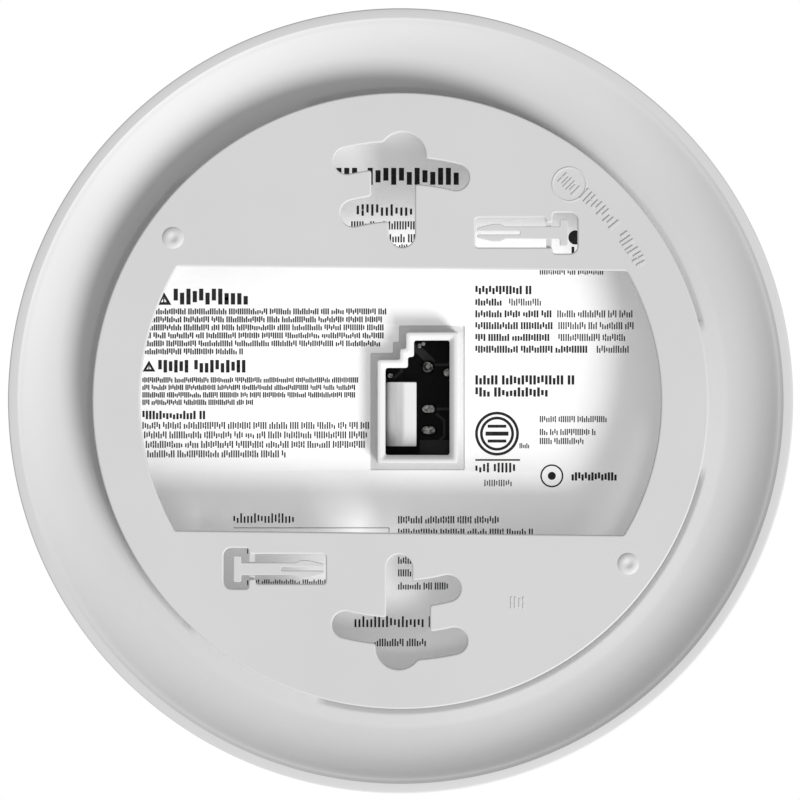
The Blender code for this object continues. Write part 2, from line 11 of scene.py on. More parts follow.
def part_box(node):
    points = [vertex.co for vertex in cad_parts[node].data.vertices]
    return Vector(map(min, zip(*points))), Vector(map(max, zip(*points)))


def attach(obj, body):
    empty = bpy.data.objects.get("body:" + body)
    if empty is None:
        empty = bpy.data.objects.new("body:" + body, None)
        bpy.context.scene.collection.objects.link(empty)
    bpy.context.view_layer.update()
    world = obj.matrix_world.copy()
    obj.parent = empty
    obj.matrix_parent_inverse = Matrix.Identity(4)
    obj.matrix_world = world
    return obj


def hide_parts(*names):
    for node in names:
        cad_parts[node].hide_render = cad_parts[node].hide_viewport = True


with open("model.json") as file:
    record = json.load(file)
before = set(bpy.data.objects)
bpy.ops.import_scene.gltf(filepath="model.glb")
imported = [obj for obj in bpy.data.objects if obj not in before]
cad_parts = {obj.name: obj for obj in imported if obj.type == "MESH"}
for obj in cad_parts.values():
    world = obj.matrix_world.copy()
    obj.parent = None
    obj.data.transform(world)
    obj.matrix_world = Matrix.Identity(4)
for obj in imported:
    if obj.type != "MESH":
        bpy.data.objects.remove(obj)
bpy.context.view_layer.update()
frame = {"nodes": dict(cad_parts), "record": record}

print("frame loaded:", len(frame["nodes"]), "nodes")

# Pieces are drawn in millimetres as seen from behind: x right, y up, z towards the wall.
toWorld = Matrix(((-0.001, 0, 0, 0), (0, 0, 0.001, 0), (0, 0.001, 0, 0), (0, 0, 0, 1)))


def nodeDepths(node):  # lowest and highest z of a node, drawn frame
    low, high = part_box(node)
    return low.y * 1000, high.y * 1000


# camera and light
view = {"distance": 1.25, "frameWidth": 0.14505, "lookAt": (0.0001, -0.004, 0.00014)}
light = {"azimuth": -48, "height": 36, "strength": 3.3, "softness": 26, "fill": 0.47,
         "roomFrom": (0.45, -0.75, 0.6), "roomStrength": 1.7, "roomSoftness": 20}


def makeCamera():
    target = Vector(view["lookAt"])
    data = bpy.data.cameras.new("camera")
    data.sensor_width = 36
    data.lens = 36 * view["distance"] / view["frameWidth"]
    data.clip_start = 0.05
    data.clip_end = 50
    camera = bpy.data.objects.new("camera", data)
    bpy.context.scene.collection.objects.link(camera)
    camera.location = target + Vector((0, view["distance"], 0))
    camera.rotation_euler = (target - camera.location).to_track_quat("-Z", "Y").to_euler()
    bpy.context.scene.camera = camera


def makeLamp(name, towards, strength, softness):
    data = bpy.data.lights.new(name, "SUN")
    data.energy = strength
    data.angle = math.radians(softness)
    lamp = bpy.data.objects.new(name, data)
    bpy.context.scene.collection.objects.link(lamp)
    lamp.rotation_euler = Vector(towards).to_track_quat("Z", "Y").to_euler()


def makeLights():
    around = math.radians(light["azimuth"])
    up = math.radians(light["height"])
    keyFrom = (-math.cos(around) * math.cos(up), math.sin(up), math.sin(around) * math.cos(up))
    makeLamp("keyLight", keyFrom, light["strength"], light["softness"])
    makeLamp("frontLight", light["roomFrom"], light["roomStrength"], light["roomSoftness"])  # only reaches the front
    world = bpy.data.worlds.new("studio")
    bpy.context.scene.world = world
    world.use_nodes = True
    nodes = world.node_tree.nodes
    links = world.node_tree.links
    seen = nodes.new("ShaderNodeBackground")
    seen.inputs["Color"].default_value = (1, 1, 1, 1)
    given = nodes["Background"]
    given.inputs["Color"].default_value = (1, 1, 1, 1)
    given.inputs["Strength"].default_value = light["fill"]
    path = nodes.new("ShaderNodeLightPath")
    mix = nodes.new("ShaderNodeMixShader")
    links.new(path.outputs["Is Camera Ray"], mix.inputs["Fac"])
    links.new(given.outputs["Background"], mix.inputs[1])
    links.new(seen.outputs["Background"], mix.inputs[2])
    links.new(mix.outputs["Shader"], nodes["World Output"].inputs["Surface"])


makeCamera()
makeLights()
bpy.context.scene.view_settings.view_transform = "Standard"
print("camera and lights ready")


# materials
def newMaterial(name):
    material = bpy.data.materials.new(name)
    material.use_nodes = True
    return material, material.node_tree, material.node_tree.nodes["Principled BSDF"]


def noiseOf(tree, scale, detail, rough=0.5):
    where = tree.nodes.new("ShaderNodeTexCoord")
    noise = tree.nodes.new("ShaderNodeTexNoise")
    noise.inputs["Scale"].default_value = scale
    noise.inputs["Detail"].default_value = detail
    noise.inputs["Roughness"].default_value = rough
    tree.links.new(where.outputs["Object"], noise.inputs["Vector"])
    return noise.outputs["Fac"]


def blendColours(tree, factor, first, second):
    ramp = tree.nodes.new("ShaderNodeValToRGB")
    ramp.color_ramp.elements[0].position = 0.35
    ramp.color_ramp.elements[1].position = 0.65
    ramp.color_ramp.elements[0].color = (*first, 1)
    ramp.color_ramp.elements[1].color = (*second, 1)
    tree.links.new(factor, ramp.inputs["Fac"])
    return ramp.outputs["Color"]


def rangeOf(tree, value, low, high):
    spread = tree.nodes.new("ShaderNodeMapRange")
    spread.inputs["To Min"].default_value = low
    spread.inputs["To Max"].default_value = high
    tree.links.new(value, spread.inputs["Value"])
    return spread.outputs["Result"]


def bumpFrom(tree, height, depth, strength, under=None):
    bump = tree.nodes.new("ShaderNodeBump")
    bump.inputs["Strength"].default_value = strength
    bump.inputs["Distance"].default_value = depth
    tree.links.new(height, bump.inputs["Height"])
    if under:
        tree.links.new(under, bump.inputs["Normal"])
    return bump.outputs["Normal"]


def dress(tree, shader, grain, colours, roughness, normal, mottle=None):
    # the grain moves the roughness, and the colour too unless a mottle does
    tree.links.new(blendColours(tree, mottle or grain, *colours), shader.inputs["Base Color"])
    tree.links.new(rangeOf(tree, grain, *roughness), shader.inputs["Roughness"])
    tree.links.new(normal, shader.inputs["Normal"])


def mouldedPlastic(name, colour, rough, scale, depth, gloss=0.5):
    # spark-eroded grain, slow thickness shading and a slightly uneven gloss
    material, tree, shader = newMaterial(name)
    grain = noiseOf(tree, scale, 3, 0.6)
    darker = tuple(c * 0.975 for c in colour)
    lighter = tuple(min(1, c * 1.015) for c in colour)
    waves = bumpFrom(tree, noiseOf(tree, 60, 1), 0.00006, 0.6)
    normal = bumpFrom(tree, grain, depth, 0.8, waves)
    dress(tree, shader, grain, (darker, lighter), (rough - 0.05, rough + 0.06), normal, noiseOf(tree, 22, 3))
    shader.inputs["Specular IOR Level"].default_value = gloss
    return material


# label film whose emission is painted light, lifting the shade on it
def labelFilm():
    material, tree, shader = newMaterial("labelFilm")
    fibres = noiseOf(tree, 900, 4, 0.7)
    ripple = bumpFrom(tree, noiseOf(tree, 45, 2), 0.00012, 0.5)
    normal = bumpFrom(tree, fibres, 0.000008, 0.5, ripple)
    dress(tree, shader, fibres, ((0.865, 0.865, 0.865), (0.89, 0.89, 0.89)), (0.5, 0.62), normal)
    shader.inputs["Specular IOR Level"].default_value = 0.35
    shader.inputs["Emission Color"].default_value = (1, 1, 1, 1)  # painted light: the film glows white so that its shaded parts read lighter
    shader.inputs["Emission Strength"].default_value = 0.17
    return material


def printedInk():
    material, tree, shader = newMaterial("printedInk")
    patchy = noiseOf(tree, 2600, 3, 0.7)
    normal = bumpFrom(tree, patchy, 0.000006, 0.5)
    dress(tree, shader, patchy, ((0.006, 0.006, 0.006), (0.022, 0.022, 0.022)), (0.45, 0.65), normal)
    shader.inputs["Specular IOR Level"].default_value = 0.2
    return material


def solderMask(name, first, second, rough, gloss):
    material, tree, shader = newMaterial(name)
    weave = noiseOf(tree, 420, 4, 0.6)
    normal = bumpFrom(tree, weave, 0.00003, 0.4)
    dress(tree, shader, weave, (first, second), (rough - 0.04, rough + 0.07), normal)
    shader.inputs["Specular IOR Level"].default_value = gloss
    return material


def metalFinish(name, first, second, rough, scale, depth=0.00001):
    material, tree, shader = newMaterial(name)
    grain = noiseOf(tree, scale, 4, 0.65)
    normal = bumpFrom(tree, grain, depth, 0.5)
    dress(tree, shader, grain, (first, second), (rough - 0.08, rough + 0.12), normal)
    shader.inputs["Metallic"].default_value = 1.0
    return material


def tintedLens(name, colour, rough, clear):
    material, tree, shader = newMaterial(name)
    cloud = noiseOf(tree, 300, 2)
    deep = tuple(c * 0.8 for c in colour)
    dress(tree, shader, cloud, (deep, colour), (rough, rough + 0.08), bumpFrom(tree, cloud, 0.00001, 0.4))
    shader.inputs["Transmission Weight"].default_value = clear
    shader.inputs["IOR"].default_value = 1.49
    return material


bracketPlastic = mouldedPlastic("bracketPlastic", (0.575, 0.575, 0.575), 0.6, 3800, 0.00001, 0.25)
housingPlastic = mouldedPlastic("housingPlastic", (0.7, 0.7, 0.7), 0.58, 3600, 0.00001, 0.25)
coverPlastic = mouldedPlastic("coverPlastic", (0.58, 0.58, 0.58), 0.56, 3400, 0.000012, 0.25)
nylonWhite = mouldedPlastic("nylonWhite", (0.74, 0.74, 0.74), 0.45, 2600, 0.00001, 0.45)
blackEpoxy = mouldedPlastic("blackEpoxy", (0.018, 0.018, 0.018), 0.5, 3000, 0.00002)
tanCoating = mouldedPlastic("tanCoating", (0.55, 0.40, 0.24), 0.45, 2400, 0.00001)
sleeveBlue = mouldedPlastic("sleeveBlue", (0.02, 0.045, 0.16), 0.32, 1800, 0.000006)
batteryJacket = mouldedPlastic("batteryJacket", (0.07, 0.07, 0.075), 0.34, 1500, 0.000006)
labelWhite = labelFilm()
inkBlack = printedInk()
boardMask = solderMask("boardMask", (0.001, 0.001, 0.001), (0.0022, 0.0022, 0.0022), 0.34, 0.1)
trackMask = solderMask("trackMask", (0.018, 0.018, 0.018), (0.03, 0.03, 0.03), 0.38, 0.2)
solderMetal = metalFinish("solderMetal", (0.03, 0.03, 0.03), (0.45, 0.45, 0.44), 0.18, 1300, 0.00006)
tinPlate = metalFinish("tinPlate", (0.62, 0.62, 0.61), (0.74, 0.74, 0.73), 0.32, 900)
brassSheet = metalFinish("brassSheet", (0.70, 0.50, 0.20), (0.80, 0.60, 0.28), 0.3, 900)
screenWire = metalFinish("screenWire", (0.12, 0.12, 0.12), (0.34, 0.34, 0.33), 0.4, 2500)
redLens = tintedLens("redLens", (0.5, 0.02, 0.015), 0.12, 0.35)
clearLens = tintedLens("clearLens", (0.86, 0.86, 0.84), 0.2, 0.15)
print("materials ready")


# drawing helpers; outlines are lists of (x, y), profiles are lists of (radius, z)
def polar(radius, degrees, centre=(0, 0)):
    angle = math.radians(degrees)
    return (centre[0] + radius * math.cos(angle), centre[1] + radius * math.sin(angle))


def arc(radius, start, end, steps, centre=(0, 0)):
    return [polar(radius, start + (end - start) * i / steps, centre) for i in range(steps + 1)]


def circle(radius, steps, centre=(0, 0)):
    return arc(radius, 0, 360, steps, centre)[:-1]


def halfTurn(outline):
    return [(-x, -y) for x, y in outline]


def smoothPath(points, perSpan):  # Catmull-Rom through the points
    path = []
    last = len(points) - 1
    for i in range(last):
        p0 = Vector(points[max(i - 1, 0)])
        p1 = Vector(points[i])
        p2 = Vector(points[i + 1])
        p3 = Vector(points[min(i + 2, last)])
        for k in range(perSpan):
            t = k / perSpan
            path.append(0.5 * (2 * p1 + (p2 - p0) * t + (2 * p0 - 5 * p1 + 4 * p2 - p3) * t * t
                               + (3 * p1 - p0 - 3 * p2 + p3) * t ** 3))
    path.append(Vector(points[last]))
    return [tuple(p) for p in path]


def grown(outline, margin):  # a closed outline moved outwards, corners kept sharp
    count = len(outline)
    moved = []
    for i in range(count):
        here = Vector(outline[i])
        before = (here - Vector(outline[i - 1])).normalized()
        after = (Vector(outline[(i + 1) % count]) - here).normalized()
        out = Vector((before.y + after.y, -before.x - after.x))
        reach = out.length_squared
        moved.append(tuple(here + out * (2 * margin / reach if reach > 0.3 else margin)))
    return moved


def joinLoops(bm, first, second, flip=False):
    count = len(first)
    for i in range(count):
        j = (i + 1) % count
        corners = (first[i], first[j], second[j], second[i])
        bm.faces.new(corners[::-1] if flip else corners)


def addLoop(bm, outline, z):
    return [bm.verts.new((x, y, z)) for x, y in outline]


def addPlate(bm, outer, holes, zTop, zBack, edge):
    # flat plate with round-edged outer outline and holes; edge is a list of (inset, drop)
    sides = []
    for outline, sign in [(outer, -1)] + [(hole, 1) for hole in holes]:
        loops = [addLoop(bm, grown(outline, sign * inset), zTop - drop) for inset, drop in edge]
        loops += [addLoop(bm, grown(outline, sign * inset), zBack + drop) for inset, drop in edge[::-1]]
        for upper, lower in zip(loops, loops[1:]):
            joinLoops(bm, upper, lower, flip=sign < 0)
        sides.append((loops[0], loops[-1]))
    for level in (0, 1):
        rings = [side[level] for side in sides]
        flat = [v for ring in rings for v in ring]
        for tri in tessellate_polygon([[v.co for v in ring] for ring in rings]):
            bm.faces.new([flat[i] for i in tri])


def addPrism(bm, outline, z0, z1):
    low = addLoop(bm, outline, z0)
    high = addLoop(bm, outline, z1)
    joinLoops(bm, low, high)
    bm.faces.new(low[::-1])
    bm.faces.new(high)


def addTurned(bm, profile, steps, centre=(0, 0), closed=True):
    # profile runs round the section; an open one is capped at both ends
    loops = [addLoop(bm, circle(radius, steps, centre), z) for radius, z in profile]
    for first, second in zip(loops, loops[1:]):
        joinLoops(bm, first, second)
    if closed:
        joinLoops(bm, loops[-1], loops[0])
    else:
        bm.faces.new(loops[0][::-1])
        bm.faces.new(loops[-1])


def addSweep(bm, section, start, end, steps):  # section of (radius, z) part way round the axis
    rings = []
    for i in range(steps + 1):
        angle = start + (end - start) * i / steps
        rings.append([bm.verts.new((*polar(r, angle), z)) for r, z in section])
    for first, second in zip(rings, rings[1:]):
        joinLoops(bm, first, second)
    bm.faces.new(rings[0][::-1])
    bm.faces.new(rings[-1])


def addBox(bm, x0, x1, y0, y1, z0, z1):
    addPrism(bm, [(x0, y0), (x1, y0), (x1, y1), (x0, y1)], z0, z1)


def roundEdge(radius):  # (inset, drop) pairs of a quarter-round edge
    pairs = []
    for i in range(5):
        angle = math.pi / 2 * i / 4
        pairs.append((radius * (1 - math.sin(angle)), radius * (1 - math.cos(angle))))
    return pairs


def makePiece(name, draw, material, body, stands=(), bevel=0, smooth=35, recalc=True):
    bm = bmesh.new()
    draw(bm)
    if recalc:
        bmesh.ops.recalc_face_normals(bm, faces=bm.faces)
    bm.transform(toWorld)
    mesh = bpy.data.meshes.new(name)
    bm.to_mesh(mesh)
    bm.free()
    mesh.materials.append(material)
    piece = bpy.data.objects.new(name, mesh)
    bpy.context.scene.collection.objects.link(piece)
    mesh.shade_smooth()
    mesh.set_sharp_from_angle(angle=math.radians(smooth))
    if bevel:
        rounding = piece.modifiers.new("rounding", "BEVEL")
        rounding.width = bevel * 0.001
        rounding.segments = 2
        rounding.limit_method = "ANGLE"
        rounding.angle_limit = math.radians(40)
        rounding.harden_normals = True
    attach(piece, body)
    if stands:
        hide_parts(*stands)


def softened(outline, reach, steps=5):  # every sharp corner of a closed outline replaced by a small curve
    count = len(outline)
    points = [Vector(p) for p in outline]
    along = [0.0]
    for i in range(count):
        along.append(along[-1] + (points[(i + 1) % count] - points[i]).length)
    total = along[-1]

    def at(place):
        place %= total
        k = max(i for i in range(count) if along[i] <= place)
        span = along[k + 1] - along[k]
        return points[k].lerp(points[(k + 1) % count], (place - along[k]) / span if span else 0)

    def turn(i):
        return abs((points[i] - points[i - 1]).angle_signed(points[(i + 1) % count] - points[i], 0))

    corners = [i for i in range(count) if turn(i) > math.radians(28)]
    reaches = {}
    for n, i in enumerate(corners):
        before = (along[i] - along[corners[n - 1]]) % total or total
        after = (along[corners[(n + 1) % len(corners)]] - along[i]) % total or total
        reaches[i] = min(reach, before * 0.49, after * 0.49)
    result = []
    for i in range(count):
        if i in reaches:
            start, end = at(along[i] - reaches[i]), at(along[i] + reaches[i])
            for k in range(steps + 1):
                t = k / steps
                result.append(tuple(start * (1 - t) ** 2 + points[i] * 2 * t * (1 - t) + end * t * t))
        else:
            gaps = [min((along[i] - along[c]) % total, (along[c] - along[i]) % total) - reaches[c] for c in reaches]
            if not gaps or min(gaps) > 0.02:
                result.append(tuple(points[i]))
    return result


def angleAtX(radius, x):
    return math.degrees(math.acos(x / radius))


def crossing(centreRadius, holeRadius, radius):  # angle between a hole's centre and where a circle cuts the hole
    part = (centreRadius ** 2 + radius ** 2 - holeRadius ** 2) / (2 * centreRadius * radius)
    return math.degrees(math.acos(part))


def angleFrom(centre, point):
    return math.degrees(math.atan2(point[1] - centre[1], point[0] - centre[0]))


plate = {"radius": 55.7, "front": -2.0, "openingRadius": 47.1, "openingHalf": 23.9, "openingTilt": -0.6}
# head, outer, middle and inner are a radius and an angle about the middle of the plate
keyhole = {"head": (44.4, 89.5), "headRadius": 4.16, "half": 2.4, "outer": (44.45, 102.6),
           "middle": (41.66, 76.1), "inner": (34.93, 104.1), "left": -5.3, "innerLeft": -2.1, "right": 2.6,
           "foot": (0.25, 30.1), "footRadius": 2.35}


def keyholeOutline():  # one continuous cut: a screw head hole, three curved slots and the runs between them
    k = keyhole
    half = k["half"]
    head = polar(*k["head"])
    outer, middle, inner = k["outer"], k["middle"], k["inner"]
    outline = arc(k["footRadius"], 180, 360, 16, k["foot"])
    outline += arc(middle[0] - half, angleAtX(middle[0] - half, k["right"]), middle[1], 8)
    outline += arc(half, middle[1] + 180, middle[1] + 360, 16, polar(*middle))[1:-1]
    toRight = k["head"][1] - crossing(k["head"][0], k["headRadius"], middle[0] + half)
    outline += arc(middle[0] + half, middle[1], toRight, 6)
    toLeft = k["head"][1] + crossing(k["head"][0], k["headRadius"], outer[0] + half)
    first = angleFrom(head, outline[-1])
    last = angleFrom(head, polar(outer[0] + half, toLeft))
    outline += arc(k["headRadius"], first, last, 22, head)[1:]
    outline += arc(outer[0] + half, toLeft, outer[1], 6)[1:]
    outline += arc(half, outer[1], outer[1] + 180, 16, polar(*outer))[1:-1]
    outline += arc(outer[0] - half, outer[1], angleAtX(outer[0] - half, k["left"]), 5)
    outline += arc(inner[0] + half, angleAtX(inner[0] + half, k["left"]), inner[1], 6)
    outline += arc(half, inner[1], inner[1] + 180, 16, polar(*inner))[1:-1]
    outline += arc(inner[0] - half, inner[1], angleAtX(inner[0] - half, k["innerLeft"]), 8)
    return outline


def openingOutline():
    radius, tilt = plate["openingRadius"], plate["openingTilt"]
    half = math.degrees(math.asin(plate["openingHalf"] / radius))
    return arc(radius, tilt - half, tilt + half, 44) + arc(radius, 180 + tilt - half, 180 + tilt + half, 44)


def pinSlotOutline():
    outline = [(13.5, 27.7), (27.5, 27.7), (27.5, 26.6), (30.6, 26.6)]
    outline += arc(1.4, -90, 0, 6, (30.6, 28.0))[1:] + arc(1.4, 0, 90, 6, (30.6, 32.6))
    return outline + [(27.5, 34.0), (27.5, 32.2), (26.2, 32.2), (26.2, 33.1), (13.5, 33.1)]


pin = {"middle": 30.4, "corner": 0.25, "edge": 0.12, "hold": 0.06}


def pinOutline():
    upper = [(19.0, 1.1), (18.0, 1.55), (16.6, 1.55), (13.85, 0.88)]
    outline = [(28.8, -2.35), (30.2, -2.35), (30.2, 2.35), (28.8, 2.35), (28.8, 1.1)] + upper
    outline += [(13.85, 0.35), (21.6, 0.35), (21.6, -0.35), (13.85, -0.35)]
    outline += [(x, -y) for x, y in reversed(upper)] + [(28.8, -1.1)]
    return [(x, pin["middle"] + y) for x, y in outline]


def windowOutline(m):  # the keyed window, moved out by a margin
    return [(-2.75 - m, -9.9 - m), (8.95 + m, -9.9 - m), (8.95 + m, 11 + m), (2.45 - m, 11 + m),
            (2.45 - m, 8 + m), (1.35 - m, 8 + m), (1.35 - m, 6 + m), (-2.75 - m, 6 + m)]


def softEdge(radius, hold):  # a quarter round that starts a little way down from the face
    return [(radius + hold, 0)] + roundEdge(radius)


# bracket and its two break-out pins
lipStarts = (107, 227, 347)  # degrees where each of the cover's lips begins

# Upright bars that read as print from afar but form no letter or figure: each runs from (u, v) to (u, v) in a
# cell that is one unit wide and one high.
strokeCells = [
    ((0, 0, 0, 1), (1, 0, 1, 0.6)),
    ((0, 0, 0, 0.66), (1, 0, 1, 1)),
    ((0, 0.35, 0, 1), (1, 0, 1, 1)),
    ((0, 0, 0, 1), (1, 0.2, 1, 0.8)),
    ((0, 0, 0, 0.4), (0, 0.6, 0, 1), (1, 0, 1, 1)),
    ((0, 0.15, 0, 0.85), (1, 0, 1, 0.35), (1, 0.65, 1, 1)),
    ((0, 0, 0, 1), (1, 0, 1, 1)),
    ((0, 0.35, 0, 1), (1, 0, 1, 0.65)),
]


def addCell(bm, corner, turned, cell, cap, width, pen, z, height):
    # one cell of strokes with its lower left corner at corner, its baseline turned by an angle
    along = Vector(polar(1, turned))
    up = Vector((-along.y, along.x))
    for u0, v0, u1, v1 in cell:
        x0, x1 = u0 * width, u1 * width + pen
        y0, y1 = v0 * (cap - pen), v1 * (cap - pen) + pen
        corners = [Vector(corner) + along * x + up * y for x, y in ((x0, y0), (x1, y0), (x1, y1), (x0, y1))]
        addPrism(bm, [tuple(c) for c in corners], z, z + height)


def drawPlate(bm):
    back = nodeDepths("mounting_bracket")[1]
    holes = [softened(openingOutline(), 0.4)]
    for outline in (keyholeOutline(), pinSlotOutline()):
        shape = softened(outline, 0.6)
        holes += [shape, halfTurn(shape)]
    addPlate(bm, circle(plate["radius"], 288), holes, back, plate["front"], softEdge(0.28, 0.1))
    # a thin skirt under the edge keeps light out
    addTurned(bm, [(55.55, -1.7), (55.55, -4.35), (55.4, -4.5), (54.85, -4.5), (54.7, -4.35), (54.7, -1.7)], 288)


hook = {"start": 11, "end": 25, "gussets": (14.5, 21.5)}  # degrees from the start of a lip


def drawHooks(bm):
    section = [(52.8, -1.6), (54.4, -1.6), (54.4, -5.85), (54.6, -6.0), (55.55, -6.0), (55.7, -6.15), (55.7, -6.8),
               (55.5, -7.0), (53.1, -7.0), (52.8, -6.7)]
    for start in lipStarts:
        addSweep(bm, section, start + hook["start"], start + hook["end"], 14)
        for gusset in hook["gussets"]:
            at = start + gusset
            addSweep(bm, [(51.2, -1.7), (52.95, -1.7), (52.95, -5.2)], at - 0.6, at + 0.6, 1)


marks = {"sunk": -0.03, "bossAt": 50.6, "bossAngles": (144.4, 324.4), "dial": (30.5, 39.1), "rowAt": 51.2,
         "rowStart": 47.0, "rowStep": 1.95, "gap": 5, "pair": (19.9, -37.6), "pairStep": 1.5}


def drawBracketMarks(bm):
    z = marks["sunk"]
    for angle in marks["bossAngles"]:  # two small domed bosses, each with a dimple
        addTurned(bm, [(2.0, z), (1.9, z + 0.1), (1.6, z + 0.26), (1.2, z + 0.36), (0.8, z + 0.34), (0.5, z + 0.2),
                       (0.15, z + 0.12)], 48, polar(marks["bossAt"], angle), closed=False)
    for radius in (2.9, 3.7):  # faint rings round the lower boss
        addTurned(bm, [(radius + 0.2, z), (radius, z + 0.06), (radius - 0.2, z)], 64,
                  polar(marks["bossAt"], marks["bossAngles"][1]))
    rng = random.Random(5)
    addTurned(bm, [(3.25, z), (3.15, z + 0.13), (2.95, z + 0.13), (2.85, z)], 64, marks["dial"])
    for k in range(3):
        corner = Vector(polar(1.15, 45, marks["dial"])) + Vector(polar(1.3 * k - 1.85, 135))
        addCell(bm, corner, 135, strokeCells[k + 3], 2.3, 0.75, 0.34, z, 0.15)
    for k in range(10):  # a row of moulded strokes that follows the rim
        if k != marks["gap"]:
            angle = marks["rowStart"] - marks["rowStep"] * k
            addCell(bm, polar(marks["rowAt"], angle), angle + 90, rng.choice(strokeCells), 2.35, 0.95, 0.4, z, 0.2)
    for k in range(2):
        corner = (marks["pair"][0] + marks["pairStep"] * k, marks["pair"][1])
        addCell(bm, corner, 0, strokeCells[4 + k], 2.1, 0.7, 0.3, z, 0.14)


bridge = {"x": (26.35, 27.3), "spans": ((31.56, 32.3), (27.6, 29.24)), "z": (-1.5, -0.5)}


def drawPinBridges(bm):  # two thin bridges hold each pin in its slot
    x0, x1 = bridge["x"]
    for turn in (1, -1):
        for y0, y1 in bridge["spans"]:
            corners = [(x0, y0), (x1, y0), (x1, y1), (x0, y1)]
            addPrism(bm, [(x * turn, y * turn) for x, y in corners], *bridge["z"])


def drawWholeBracket(bm):
    drawPlate(bm)
    drawHooks(bm)
    drawBracketMarks(bm)
    drawPinBridges(bm)


makePiece("mountingBracket", drawWholeBracket, bracketPlastic, "bracket", ["mounting_bracket"])
for pinName, pinNode, pinShape in (("lockingPinUpper", "locking_pin_upper", pinOutline()),
                                   ("lockingPinLower", "locking_pin_lower", halfTurn(pinOutline()))):
    low, high = nodeDepths(pinNode)
    pinEdge = softEdge(pin["edge"], pin["hold"])
    makePiece(pinName, lambda bm: addPlate(bm, softened(pinShape, pin["corner"], 3), [], high, low, pinEdge),
              bracketPlastic, "bracket", [pinNode])
print("bracket ready")


# rear housing: dish, collar round the window, ledge, posts and board bosses
floorTop = -12.0
boardTop = nodeDepths("circuit_board")[1]


housing = {"filletStart": 47.8, "fillet": 3.7, "under": -13.6}


def drawHousing(bm):
    start, fillet, under = housing["filletStart"], housing["fillet"], housing["under"]
    top = [(46.9, floorTop), (start, floorTop)]
    for k in range(1, 15):
        angle = math.pi / 2 * k / 14
        top.append((start + fillet * math.sin(angle), floorTop + fillet - fillet * math.cos(angle)))
    top += [(51.5, -7.75), (51.6, -7.45), (51.95, -7.3), (56.6, -7.3), (56.9, -7.4), (57.0, -7.6), (57.0, -8.75),
            (56.85, -8.9), (53.6, -8.9), (53.3, -9.1), (53.2, -9.4), (53.2, -12.4), (52.9, -13.2), (52.0, under),
            (47.3, under), (46.9, under)]
    rings = [addLoop(bm, circle(r, 256), z) for r, z in top]
    for first, second in zip(rings, rings[1:]):
        joinLoops(bm, first, second)
    wall = [(1.75, floorTop), (1.55, floorTop + 0.06), (1.45, floorTop + 0.25), (1.45, -8.2), (1.4, -8.06),
            (1.25, -8.0), (0.95, -8.0), (0.72, -8.06), (0.1, -8.7), (0.0, -8.95), (0.0, under)]
    collar = [addLoop(bm, softened(windowOutline(margin), 0.5, 4), z) for margin, z in wall]
    for first, second in zip(collar, collar[1:]):
        joinLoops(bm, first, second)
    for ring, loop in ((rings[0], collar[0]), (rings[-1], collar[-1])):
        flat = ring + loop
        for tri in tessellate_polygon([[v.co for v in ring], [v.co for v in loop]]):
            bm.faces.new([flat[i] for i in tri])


def drawPosts(bm):  # four posts with crossed ribs stand over the board
    boardGap = boardTop + 0.3
    for x, y in ((-12, 40), (-12, -40), (44, 18), (44, -18)):
        addTurned(bm, [(0.9, boardGap), (2.0, boardGap), (2.2, boardGap + 0.25), (2.3, -13.5)], 32, (x, y),
                  closed=False)
        for turn in (0, 90):
            along = Vector(polar(3.6, turn))
            side = Vector(polar(0.4, turn + 90))
            corners = [-along - side, along - side, along + side, -along + side]
            addPrism(bm, [(x + c.x, y + c.y) for c in corners], boardGap + 0.9, -13.4)


label = {"radius": 48.95, "windowMargin": 2.75, "low": floorTop + 0.02, "high": floorTop + 0.26}


def drawLabel(bm):
    hole = softened(windowOutline(label["windowMargin"]), 0.3)
    edge = [(0.06, 0), (0.02, 0.02), (0, 0.06)]
    addPlate(bm, circle(label["radius"], 256), [hole], label["high"], label["low"], edge)


makePiece("rearHousing", lambda bm: (drawHousing(bm), drawPosts(bm)), housingPlastic, "alarm",
          ["rear_housing"])
makePiece("ratingLabel", drawLabel, labelWhite, "alarm", ["rating_label"])
print("housing and label sheet ready")


# printed strokes on the label
ink = {"z": floorTop + 0.255, "thick": 0.02}


def printedLine(bm, rng, x0, x1, y, cap, pen=0.19, wide=0.33):
    # words of evenly spaced bars from x0 to about x1; y is the middle of the line, pen and wide are shares of cap
    x = x0
    step = cap * wide * 2
    while x < x1 - step:
        for _ in range(rng.choice((2, 3, 4, 5, 6, 7, 8, 9))):
            if x > x1 - step * 0.9:
                break
            height = cap * (0.72 if rng.random() < 0.15 else 1)
            addCell(bm, (x, y - cap / 2), 0, rng.choice(strokeCells), height, cap * wide, cap * pen, ink["z"],
                    ink["thick"])
            x += step
        x += step * 0.4


def printedRing(bm, centre, radius, width, steps=48):
    low, high = ink["z"], ink["z"] + ink["thick"]
    addTurned(bm, [(radius - width, low), (radius - width, high), (radius, high), (radius, low)], steps, centre)


def printedDot(bm, centre, radius, slant, steps):
    high = ink["z"] + ink["thick"]
    addTurned(bm, [(radius, ink["z"]), (radius - slant, high)], steps, centre, closed=False)


def printedBar(bm, x0, x1, y0, y1):
    addBox(bm, x0, x1, y0, y1, ink["z"], ink["z"] + ink["thick"])


def printedTriangle(bm, x, y, size):  # three flat sides and an upright bar
    outer = [polar(size, a, (x, y)) for a in (90, 210, 330)]
    inner = [polar(size * 0.38, a, (x, y)) for a in (90, 210, 330)]
    for k in range(3):
        j = (k + 1) % 3
        addPrism(bm, [outer[k], outer[j], inner[j], inner[k]], ink["z"], ink["z"] + ink["thick"])
    printedBar(bm, x - size * 0.07, x + size * 0.07, y - size * 0.25, y + size * 0.3)


